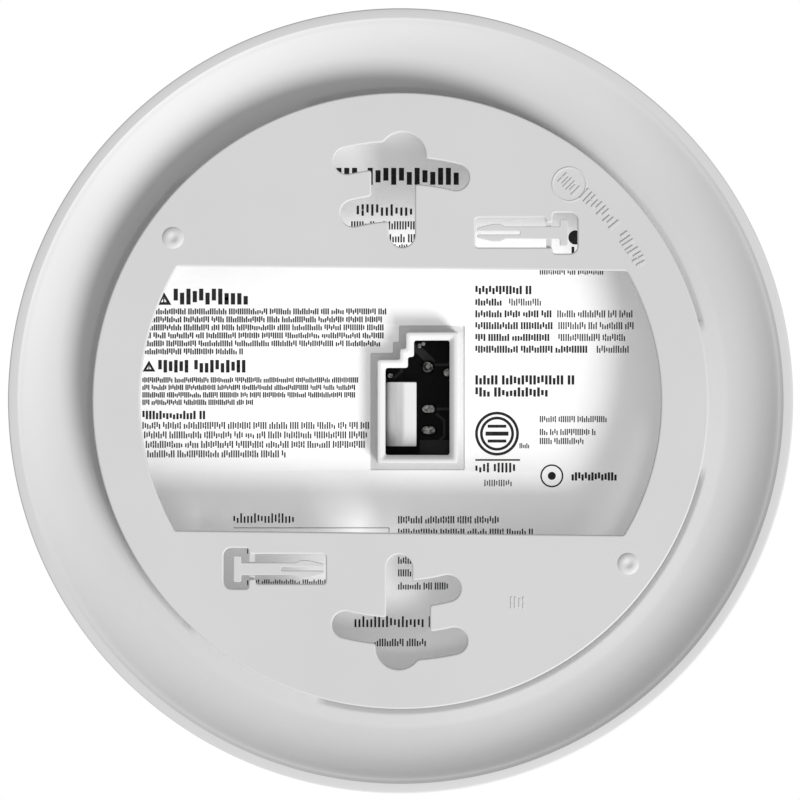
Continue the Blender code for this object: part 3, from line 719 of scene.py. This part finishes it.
def drawNotices(bm):  # upper left: three headed blocks of close lines
    rng = random.Random(11)
    printedTriangle(bm, -43.2, 18.3, 1.6)
    printedLine(bm, rng, -41.4, -27.0, 19.0, 2.9, 0.27, 0.4)
    for k, end in enumerate((-2.4, -2.9, -2.4, -3.0, -2.6, -28.1)):
        printedLine(bm, rng, -47.0 + max(0, 2 - k) * 0.8, end, 16.3 - 1.46 * k, 1.1, 0.24, 0.36)
    printedTriangle(bm, -45.9, 6.0, 1.35)
    printedLine(bm, rng, -44.2, -28.0, 6.3, 2.3, 0.28, 0.42)
    for k, end in enumerate((-7.5, -7.9, -7.3, -26.5)):
        printedLine(bm, rng, -47.1, end, 3.8 - 1.36 * k, 1.0, 0.24, 0.35)
    printedLine(bm, rng, -47.1, -35.4, -2.6, 1.55, 0.27, 0.4)
    for k, end in enumerate((-5.5, -6.0, -5.6, -20.7)):
        printedLine(bm, rng, -47.1 + 0.3 * k, end, -4.5 - 1.73 * k, 1.3, 0.19, 0.33)


def drawGuide(bm):  # upper right: a headed list, each line starting bold
    rng = random.Random(23)
    printedLine(bm, rng, 25.4, 37.5, 23.6, 1.2)
    printedLine(bm, rng, 13.65, 24.2, 20.2, 1.55, 0.27, 0.4)
    for k, (boldEnd, end) in enumerate(((19.4, 26.5), (28.2, 42.9), (28.4, 42.9), (28.4, 41.6), (35.4, 42.6))):
        printedLine(bm, rng, 13.65, boldEnd, 18.0 - 2.15 * k, 1.3, 0.26, 0.38)
        printedLine(bm, rng, boldEnd + 0.4, end, 18.0 - 2.15 * k, 1.3, 0.18, 0.33)
    printedLine(bm, rng, 13.65, 33.2, 3.8, 1.7, 0.28, 0.42)
    printedLine(bm, rng, 13.65, 28.0, 1.6, 1.7, 0.28, 0.42)


def drawRatings(bm):  # lower right: a ringed mark, a barred row and short notes; the foot of the label
    rng = random.Random(29)
    mark, dot = (17.6, -6.0), (27.6, -13.7)
    printedRing(bm, mark, 4.0, 0.5, 72)
    printedRing(bm, mark, 3.1, 0.5, 64)
    for k, (half, thick) in enumerate(((1.7, 0.55), (2.1, 0.75), (1.7, 0.55))):
        middle = mark[1] + 1.35 * (1 - k)
        printedBar(bm, mark[0] - half, mark[0] + half, middle - thick / 2, middle + thick / 2)
    printedLine(bm, rng, 21.7, 23.6, -8.2, 0.95, 0.2)
    printedBar(bm, 13.65, 21.8, -10.95, -10.65)
    printedLine(bm, rng, 13.65, 22.0, -12.2, 1.75, 0.22, 0.4)
    printedLine(bm, rng, 15.3, 20.5, -15.0, 1.2, 0.17, 0.36)
    for y, end in ((-3.35, 38.0), (-5.7, 36.0), (-7.35, 33.6)):
        printedLine(bm, rng, 25.4, end, y, 1.15, 0.19, 0.34)
    printedRing(bm, dot, 2.1, 0.28)
    printedDot(bm, dot, 0.75, 0.05, 32)
    printedLine(bm, rng, 31.2, 39.5, -13.8, 1.5, 0.28, 0.4)
    printedLine(bm, rng, -30.5, -18.6, -21.4, 1.75, 0.18, 0.36)
    printedBar(bm, -30.5, -2.1, -23.25, -23.13)
    printedBar(bm, -2.16, -2.04, -24.6, -23.2)
    printedLine(bm, rng, -0.45, 18.7, -21.7, 1.35, 0.19, 0.34)
    printedLine(bm, rng, -0.45, 24.5, -24.0, 1.35, 0.19, 0.34)


def drawEdges(bm):  # lines that the keyholes and pin slots only partly show
    rng = random.Random(37)
    for y, end in ((-29.1, 3.1), (-31.4, 7.0), (-33.8, 9.2)):
        printedLine(bm, rng, -0.45, end, y, 1.3)
    printedLine(bm, rng, -8.4, 8.6, -40.3, 2.0, 0.18, 0.36)
    printedLine(bm, rng, -4.8, 5.2, -44.1, 1.4)
    printedLine(bm, rng, -28.0, -19.0, -27.4, 1.0)
    printedLine(bm, rng, -28.0, -13.0, -33.2, 1.2, 0.18)
    printedLine(bm, rng, -11.7, 12.4, 40.95, 3.1, 0.3, 0.46)
    printedLine(bm, rng, -8.0, 8.0, 34.8, 2.1, 0.2, 0.42)
    printedLine(bm, rng, -9.0, 9.0, 32.0, 1.5)
    printedLine(bm, rng, -2.0, 9.0, 29.65, 1.5)
    printedLine(bm, rng, -2.0, 10.0, 27.9, 1.3)
    printedDot(bm, (31.9, 29.8), 1.3, 0.02, 40)
    printedBar(bm, 31.2, 31.7, 26.8, 28.1)


makePiece("labelPrint", lambda bm: (drawNotices(bm), drawGuide(bm), drawRatings(bm), drawEdges(bm)), inkBlack,
          "alarm", smooth=20, recalc=False)
print("print ready")


# what shows through the window: block, tracks and solder
block = {"left": -2.64, "right": 2.9, "top": -11.6, "ends": ((-8.3, 0.12), (-8.18, 0), (3.28, 0), (3.4, 0.12))}


def drawHeader(bm):  # a block whose face is level at the right and falls away to the left
    foot, top, left, right = boardTop + 0.02, block["top"], block["left"], block["right"]
    section = [(left, foot), (right, foot), (right, -11.75), (2.8, top), (0.95, top), (0.65, -11.65),
               (0.4, -11.78), (0.15, -11.98), (-0.5, -12.56), (-1.2, -13.2), (-2.5, -14.35), (left, -14.5)]
    rings = []
    middle = Vector((0.2, (foot + top) / 2))
    for y, shrink in block["ends"]:
        ring = []
        for x, z in section:
            towards = (middle - Vector((x, z))).normalized() * shrink
            ring.append(bm.verts.new((x + towards.x, y, z + towards.y)))
        rings.append(ring)
    for first, second in zip(rings, rings[1:]):
        joinLoops(bm, first, second)
    bm.faces.new(rings[0][::-1])
    bm.faces.new(rings[-1])


def ribbon(bm, path, width, z, height):  # flat track along a list of points
    half = width / 2
    points = [Vector(p) for p in path]
    sides = []
    for i, p in enumerate(points):
        before = (p - points[i - 1]).normalized() if i else (points[1] - p).normalized()
        after = (points[i + 1] - p).normalized() if i < len(points) - 1 else before
        across = (before + after).normalized()
        sides.append(Vector((-across.y, across.x)) * (half / max(0.5, across.dot(before))))
    outline = [tuple(p - s) for p, s in zip(points, sides)]
    outline += [tuple(p + s) for p, s in zip(points[::-1], sides[::-1])]
    addPrism(bm, outline, z, z + height)


def solderMound(bm, centre, rx, ry, height, z, dip=0.0):  # a wetted blob, with a dip round its lead
    profile = ((1.0, 0.0), (0.94, 0.4), (0.84, 0.78), (0.68, 1.0), (0.5, 1.0 - dip * 0.35), (0.28, 1.0 - dip),
               (0.08, 1.0 - dip * 0.8))
    rings = []
    for r, lift in profile:
        outline = [(centre[0] + rx * x, centre[1] + ry * y) for x, y in circle(r, 36)]
        rings.append(addLoop(bm, outline, z + height * lift))
    for first, second in zip(rings, rings[1:]):
        joinLoops(bm, first, second)
    bm.faces.new(rings[0][::-1])
    bm.faces.new(rings[-1])


tracks = {"z": boardTop + 0.01, "thick": 0.05, "pour": 0.03}


def drawTracks(bm):
    z, thick = tracks["z"], tracks["thick"]
    ribbon(bm, [(2.5, 10.1), (5.9, 6.8)], 1.5, z, thick)
    ribbon(bm, [(5.9, 6.6), (8.8, 6.6)], 0.45, z, thick)
    ribbon(bm, [(6.5, -2.35), (8.0, -3.6), (8.0, -6.5), (6.0, -8.2), (6.0, -9.8)], 0.42, z, thick)
    ribbon(bm, [(6.3, -1.5), (8.9, -1.5)], 0.5, z, thick)
    ribbon(bm, [(-2.6, 4.3), (-1.0, 4.3), (0.2, 5.4), (0.2, 5.9)], 0.5, z, thick)
    addBox(bm, 3.5, 8.9, -9.8, -7.2, z, z + tracks["pour"])


def drawSolder(bm):
    z = tracks["z"]
    solderMound(bm, (3.45, 10.1), 0.55, 0.62, 0.4, z)
    solderMound(bm, (4.2, 10.5), 0.5, 0.55, 0.36, z)
    solderMound(bm, (5.0, 6.2), 1.27, 1.27, 0.75, z, 0.55)
    solderMound(bm, (8.6, 5.2), 0.9, 0.95, 0.6, z)
    solderMound(bm, (-1.9, 4.6), 0.75, 0.6, 0.45, z)
    solderMound(bm, (5.2, -1.5), 1.45, 1.0, 0.7, z, 0.25)
    solderMound(bm, (5.2, -5.4), 1.55, 1.0, 0.7, z, 0.25)
    rng = random.Random(3)
    leads = [(14, 28), (22, 34), (5, 34), (33, 8.5), (38, 8.5), (36, -12), (36, -16), (25, -26), (11, -26), (3, -26)]
    leads += [(x, y) for x in (-9, -15) for y in (7, 12, 17, 22)] + [(33, 1.3), (33, -1.3)]
    for x, y in leads:  # the joints out of sight of the window
        solderMound(bm, (x + rng.uniform(-0.1, 0.1), y), 0.8, 0.75, 0.55, z, 0.2)


makePiece("headerBlock", drawHeader, nylonWhite, "alarm", ["header_block"])
makePiece("boardTracks", drawTracks, trackMask, "alarm", smooth=20)
makePiece("solderJoints", drawSolder, solderMetal, "alarm", smooth=60)
print("window contents ready")


# front cover: one shell whose vents, grille, light window and drawer opening are left out of its grid
trough = [(57.6, -4.64), (58.6, -4.66), (59.8, -4.65), (62.4, -4.3), (64.8, -3.6), (66.8, -2.6),
          (68.2, -1.66), (68.74, -1.42)]
rimStep = (69.28, -1.02)
rim = [(70.6, -1.02), (70.85, -1.07), (70.97, -1.22), (71.0, -1.5), (71.0, -2.6), (70.0, -3.6)]
seat = {"inner": 55.0, "notch": 55.85, "crease": 56.9, "top": -4.64, "slope": 0.53, "under": -5.7}
skirt = [(66.0, -5.3), (62.0, -8.2), (59.8, -11.8), (58.6, -16.5), (57.6, -28.0), (57.0, -31.6), (54.8, -35.4),
         (50.0, -38.1), (41.0, -40.2), (28.0, -41.6), (14.0, -42.3), (8.4, -42.4)]
inside = [(8.4, -40.6), (28.0, -39.8), (41.0, -38.4), (49.4, -36.4), (53.4, -34.2), (55.2, -31.2), (55.8, -28.0),
          (56.8, -15.0), (57.3, -11.0)]
sideDepths = (-13.9, -16, -18.4, -20.9, -23.5, -26, -28.6, -30.6, -32.6, -34.7)
domeRadii = (43, 41, 39, 37, 35, 33, 31, 29, 27, 25, 23, 21, 18, 14, 11, 9.2)
opening = {"half": 26.5, "column": 27.6, "fade": 8}
vents = {"count": 48, "step": 7.5, "half": 1.1, "clear": 35}  # degrees; none within clear of the drawer
grille = {"radii": (37, 33, 29, 25, 21), "deep": 2, "sectors": ((-88.9, -76.1), (-73.9, -53.6), (-51.4, -38.6))}


def lookUp(path, value, by, give):  # where a path passes a value of one coordinate
    for a, b in zip(path, path[1:]):
        if (a[by] - value) * (b[by] - value) <= 0 and a[by] != b[by]:
            return a[give] + (b[give] - a[give]) * (value - a[by]) / (b[by] - a[by])
    return path[-1][give]


outerPath = smoothPath(rim + skirt, 8)
innerPath = smoothPath(inside, 8)


def coverRows():
    # (radius, z, label) once round the section: back, rim, side, dome, button hole, then back inside
    rows = [(seat["inner"], seat["under"], "seat"), (seat["inner"], seat["top"], "seat"), (56.7, seat["top"], "seat"),
            (seat["crease"], seat["top"], "seat"), (57.15, seat["top"], "")]
    rows += [(r, z, "") for r, z in smoothPath(trough, 3)]
    rows += [(r, z, "") for r, z in [rimStep] + rim[:4]]
    rows += [(r, z, "") for r, z in smoothPath(rim[3:] + skirt[:3], 4)[1:] if z > -13.2]
    rows += [(lookUp(outerPath, z, 1, 0), z, f"side{k}") for k, z in enumerate(sideDepths)]
    rows += [(r, z, "") for r, z in outerPath[::3] if z < -35.0 and r > 43.6]
    rows += [(r, lookUp(outerPath, r, 0, 1), f"dome{r}") for r in domeRadii]
    rows += [(8.65, -42.38, ""), (8.45, -42.25, ""), (8.4, -42.0, ""), (8.4, -40.6, "")]
    rows += [(r, lookUp(innerPath, r, 0, 1), f"domeIn{r}") for r in domeRadii[::-1]]
    rows += [(r, z, "") for r, z in innerPath[::4] if z > -38.0 and z < -35.0]
    rows += [(lookUp(innerPath, z, 1, 0), z, f"sideIn{k}") for k, z in reversed(list(enumerate(sideDepths)))]
    return rows + [(57.3, -11.0, ""), (57.3, -8.9, ""), (57.3, -6.3, ""), (56.9, -5.75, "")]


def ventAngles():
    angles = [vents["step"] * k for k in range(vents["count"])]
    return [(k, angle) for k, angle in enumerate(angles) if abs(angle - 180) >= vents["clear"]]


def coverColumns():
    half = vents["half"]
    return [vents["step"] * k + step for k in range(vents["count"]) for step in (-half, 0, half, 2.4, 3.75, 5.1)]


def openingShift(radius, angle):  # columns near the drawer opening slide so that its sides are straight
    away = angle - 180
    wanted = math.degrees(math.asin(opening["half"] / radius)) - opening["column"]
    weight = max(0, 1 - abs(abs(away) - opening["column"]) / opening["fade"])
    return wanted * weight * (1 if away > 0 else -1)


def seatPoint(radius, z, angle):
    # the edge by the bracket slopes inwards, is level over the three lips and is notched where the hooks go in
    past = min((angle - start) % 360 for start in lipStarts)
    if past < 27.4:
        return radius, z
    if 29.5 < past < 46.5:
        radius = max(radius, seat["notch"])
    if z > seat["under"]:
        z -= (seat["crease"] - radius) * seat["slope"]
    return radius, z


def drawCover(bm):
    rows = coverRows()
    columns = coverColumns()
    rowOf = {row[2]: i for i, row in enumerate(rows)}
    grid = []
    for radius, z, label in rows:
        ring = []
        for angle in columns:
            place = (radius, z)
            if label == "seat":
                place = seatPoint(radius, z, angle)
            elif label.startswith("side"):
                angle += openingShift(radius, angle)
            ring.append(bm.verts.new((*polar(place[0], angle), place[1])))
        grid.append(ring)

    def column(angle):
        return min(range(len(columns)), key=lambda c: abs((columns[c] - angle + 180) % 360 - 180))

    # windows through the shell: kind of row, first and last row, first and last column
    windows = []
    for _, angle in ventAngles():
        windows.append(("side", 2, 6, column(angle - vents["half"]), column(angle + vents["half"])))
    windows.append(("side", 0, 9, column(180 - opening["column"]), column(180 + opening["column"])))
    for r in grille["radii"]:
        for start, end in grille["sectors"]:
            windows.append(("dome", r + grille["deep"], r, column(start), column(end)))
    windows.append(("dome", 35, 31, column(-3.75), column(3.75)))  # light pipe

    total = len(columns)
    left = set()
    for kind, first, last, c0, c1 in windows:
        span = (c1 - c0) % total
        outerRows = list(range(rowOf[f"{kind}{first}"], rowOf[f"{kind}{last}"] + 1))
        innerRows = list(range(rowOf[f"{kind}In{first}"], rowOf[f"{kind}In{last}"] - 1, -1))
        for rowList, step in ((outerRows, 0), (innerRows, -1)):
            for i in rowList[:-1]:
                left.update((i + step, (c0 + k) % total) for k in range(span))
        edge = [(0, k) for k in range(span)] + [(i, span) for i in range(len(outerRows) - 1)]
        edge += [(len(outerRows) - 1, span - k) for k in range(span)]
        edge += [(len(outerRows) - 1 - i, 0) for i in range(len(outerRows) - 1)]
        outerLoop = [grid[outerRows[i]][(c0 + k) % total] for i, k in edge]
        innerLoop = [grid[innerRows[i]][(c0 + k) % total] for i, k in edge]
        joinLoops(bm, outerLoop, innerLoop)
    count = len(rows)
    for i in range(count):
        for c in range(total):
            if (i, c) not in left:
                d, j = (c + 1) % total, (i + 1) % count
                bm.faces.new((grid[i][c], grid[i][d], grid[j][d], grid[j][c]))


def drawStops(bm):  # blocks that end the twist under each lip
    for start in lipStarts:
        addSweep(bm, [(55.1, -5.6), (57.5, -5.6), (57.5, -6.9), (55.1, -6.4)], start + 26.6, start + 27.4, 1)


def drawInnerRibs(bm):  # short ribs that stiffen the wall between vents
    for k, angle in ventAngles():
        if k % 4 == 2:
            addSweep(bm, [(55.0, -12.2), (57.0, -12.2), (56.2, -33.0), (54.6, -31.0)], angle + 3.4, angle + 4.1, 1)


makePiece("frontCover", lambda bm: (drawCover(bm), drawStops(bm), drawInnerRibs(bm)), coverPlastic, "alarm",
          ["front_cover"], bevel=0.22, smooth=32)
print("cover ready")


# battery drawer: curved front with a grip, tray floor, side walls and snap rails
drawer = {"half": 26.2, "back": -14.2, "front": -34.4, "wall": 1.9, "floor": -32.8, "innerEnd": -18.8,
          "bayHalf": 24.6, "columns": 28, "ribs": (-42.0, -34.0, -26.0), "bosses": (-29.0, -24.0)}


def drawDrawerFront(bm):
    depths = [drawer["back"], *sideDepths[1:-1], drawer["front"]]
    wide = drawer["columns"]
    places = [-1 + 2 * k / wide for k in range(wide + 1)]
    shells = []
    for inset in (0.0, drawer["wall"]):
        shell = []
        for z in depths:
            radius = lookUp(outerPath, z, 1, 0) - inset
            shell.append([bm.verts.new((-math.sqrt(radius ** 2 - (u * drawer["half"]) ** 2), u * drawer["half"], z))
                          for u in places])
        shells.append(shell)
        for a, b in zip(shell, shell[1:]):
            for k in range(wide):
                bm.faces.new((a[k], a[k + 1], b[k + 1], b[k]))
    outer, inner = shells
    last = len(depths) - 1
    edge = [(0, k) for k in range(wide)] + [(i, wide) for i in range(last)]
    edge += [(last, wide - k) for k in range(wide)] + [(last - i, 0) for i in range(last)]
    joinLoops(bm, [outer[i][k] for i, k in edge], [inner[i][k] for i, k in edge])


def drawDrawerGrip(bm):
    addSweep(bm, [(56.6, -25.5), (58.4, -25.4), (58.85, -25.1), (58.95, -24.5), (58.9, -23.6), (58.5, -23.25),
                  (56.6, -23.1)], 170, 190, 20)
    for k in range(3):  # fine lines under the thumb
        z = -20.6 - 0.8 * k
        radius = lookUp(outerPath, z, 1, 0)
        section = [(radius - 0.6, z - 0.2), (radius + 0.14, z - 0.12), (radius + 0.14, z + 0.12),
                   (radius - 0.6, z + 0.2)]
        addSweep(bm, section, 174, 186, 12)


def drawDrawerTray(bm):
    end, half, front, floor = drawer["innerEnd"], drawer["half"], drawer["front"], drawer["floor"]
    addBox(bm, -49.0, end, -half, half, front, floor)
    for turn in (1, -1):
        y0, y1 = sorted((turn * drawer["bayHalf"], turn * half))
        addBox(bm, -49.5, end, y0, y1, floor - 0.4, -29.5)
        addBox(bm, -50.0, -46.3, y0, y1, floor - 0.4, drawer["back"])
    addBox(bm, -49.0, -47.5, -3.5, 3.5, floor - 0.2, -30.6)
    for x in drawer["ribs"]:  # they carry the battery
        addBox(bm, x - 0.5, x + 0.5, -22.0, 22.0, floor - 0.2, floor + 0.22)
    boss = [(1.3, floor - 0.1), (1.2, floor + 0.2), (0.7, floor + 0.2), (0.6, floor - 0.1)]
    for y in (12.0, -12.0):  # polarity bosses moulded in the floor
        for x in drawer["bosses"]:
            addTurned(bm, boss, 24, (x, y))


makePiece("batteryDrawer", lambda bm: (drawDrawerFront(bm), drawDrawerGrip(bm), drawDrawerTray(bm)), coverPlastic,
          "drawer", ["battery_drawer"], bevel=0.2, smooth=32)


# test button and light pipe
button = {"dots": 12, "dotsAt": 5.7}
pipe = {"inner": 31.3, "outer": 34.7, "half": 3.2}  # half is in degrees


def drawButton(bm):
    face, stemEnd = nodeDepths("test_button")
    profile = [(2.25, stemEnd), (2.4, stemEnd - 0.2), (2.4, -39.0), (2.6, -39.3), (3.0, -39.4), (9.4, -39.4),
               (9.6, -39.6), (9.6, -40.1), (9.4, -40.3), (8.2, -40.3), (8.0, -40.45), (8.0, face + 0.85),
               (7.9, face + 0.42), (7.65, face + 0.13), (7.3, face), (6.7, face), (6.2, face + 0.08),
               (5.0, face + 0.28), (3.4, face + 0.42), (1.6, face + 0.5), (0.3, face + 0.52)]
    addTurned(bm, profile, 96, closed=False)
    for k in range(button["dots"]):  # finger dots round the dish
        centre = polar(button["dotsAt"], 360 / button["dots"] * k)
        addTurned(bm, [(0.32, face + 0.4), (0.3, face + 0.05), (0.14, face)], 16, centre, closed=False)


def drawLightPipe(bm):
    front, back = nodeDepths("light_pipe")
    levels = [(0.0, back), (0.0, front + 0.9), (0.12, front + 0.45), (0.4, front + 0.12), (0.8, front)]
    loops = []
    for inset, z in levels:
        half = pipe["half"] - math.degrees(inset / 33)
        outline = arc(pipe["outer"] - inset, -half, half, 10) + arc(pipe["inner"] + inset, half, -half, 10)
        loops.append(addLoop(bm, softened(outline, 0.7 - 0.6 * inset), z))
    for first, second in zip(loops, loops[1:]):
        joinLoops(bm, first, second)
    bm.faces.new(loops[0])
    bm.faces.new(loops[-1][::-1])


makePiece("testButton", drawButton, nylonWhite, "button", ["test_button"], smooth=32)
makePiece("lightPipe", drawLightPipe, clearLens, "alarm", ["light_pipe"])
print("drawer, button and light pipe ready")


# finish of the CAD nodes that are shown as they are
finishes = {"bracket_plastic": bracketPlastic, "housing_plastic": housingPlastic, "cover_plastic": coverPlastic,
            "label_paper": labelWhite, "board_laminate": boardMask, "white_nylon": nylonWhite,
            "black_epoxy": blackEpoxy, "tinned_steel": tinPlate, "brass": brassSheet, "screen_mesh": screenWire,
            "tan_coating": tanCoating, "capacitor_sleeve": sleeveBlue, "red_lens": redLens,
            "clear_acrylic": clearLens, "battery_jacket": batteryJacket}
for row in frame["record"]["subparts"]:
    carried = frame["nodes"][row["node"]]
    carried.data.materials.clear()
    carried.data.materials.append(finishes[row["material_slot"]])


# floor far below, bright and plain
ground = {"size": 4, "height": -0.7}


def makeFloor():
    bm = bmesh.new()
    bmesh.ops.create_grid(bm, x_segments=1, y_segments=1, size=ground["size"])
    mesh = bpy.data.meshes.new("floor")
    bm.to_mesh(mesh)
    bm.free()
    floor = bpy.data.objects.new("floor", mesh)
    bpy.context.scene.collection.objects.link(floor)
    floor.location = (0, 0, ground["height"])
    floor.visible_shadow = False
    material, tree, shader = newMaterial("floorPaint")
    normal = bumpFrom(tree, noiseOf(tree, 80, 2), 0.0005, 0.3)
    dress(tree, shader, noiseOf(tree, 3, 3), ((0.78, 0.78, 0.78), (0.8, 0.8, 0.8)), (0.7, 0.8), normal)
    mesh.materials.append(material)


makeFloor()
